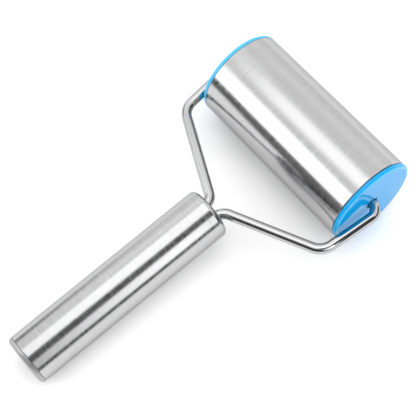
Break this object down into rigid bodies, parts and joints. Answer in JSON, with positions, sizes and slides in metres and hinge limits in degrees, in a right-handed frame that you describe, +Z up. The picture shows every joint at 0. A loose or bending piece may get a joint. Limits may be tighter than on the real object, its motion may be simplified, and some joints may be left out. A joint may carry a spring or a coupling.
{
  "type": "hand roller",
  "caption": "Hand roller: a brushed steel sleeve with glossy blue end caps turns in a polished wire yoke on a straight brushed steel tube handle.",
  "frame": {"origin": "middle of the bounding box's base, on the plane that the roller and the handle's butt stand on", "axes": "+X along the roller's axis, +Y from the handle towards the roller, +Z up"},
  "size_m": [0.1216, 0.211, 0.0508],
  "materials": {
    "brushed_steel": "brushed round the axis",
    "satin_steel": "satin",
    "polished_wire": "polished",
    "blue_plastic": "gloss",
    "bearing_plastic": "matt",
    "anchor_plastic": "matt",
    "seal_rubber": "matt"
  },
  "bodies": {
    "handle_frame": {"handle_tube": "brushed_steel", "handle_end_cap": "satin_steel", "yoke_anchor": "anchor_plastic", "yoke_arm_left": "polished_wire", "yoke_arm_right": "polished_wire"},
    "roller": {"roller_sleeve": "brushed_steel", "end_cap_left": "blue_plastic", "end_cap_right": "blue_plastic", "axle_cup_left": "bearing_plastic", "axle_cup_right": "bearing_plastic", "seal_ring_left": "seal_rubber", "seal_ring_right": "seal_rubber"}
  },
  "joints": [
    {"name": "roller_spin", "type": "hinge", "parent": "handle_frame", "child": "roller", "pos_m": [0, 0.08013, 0.0254], "axis": [1, 0, 0], "continuous": true}
  ]
}
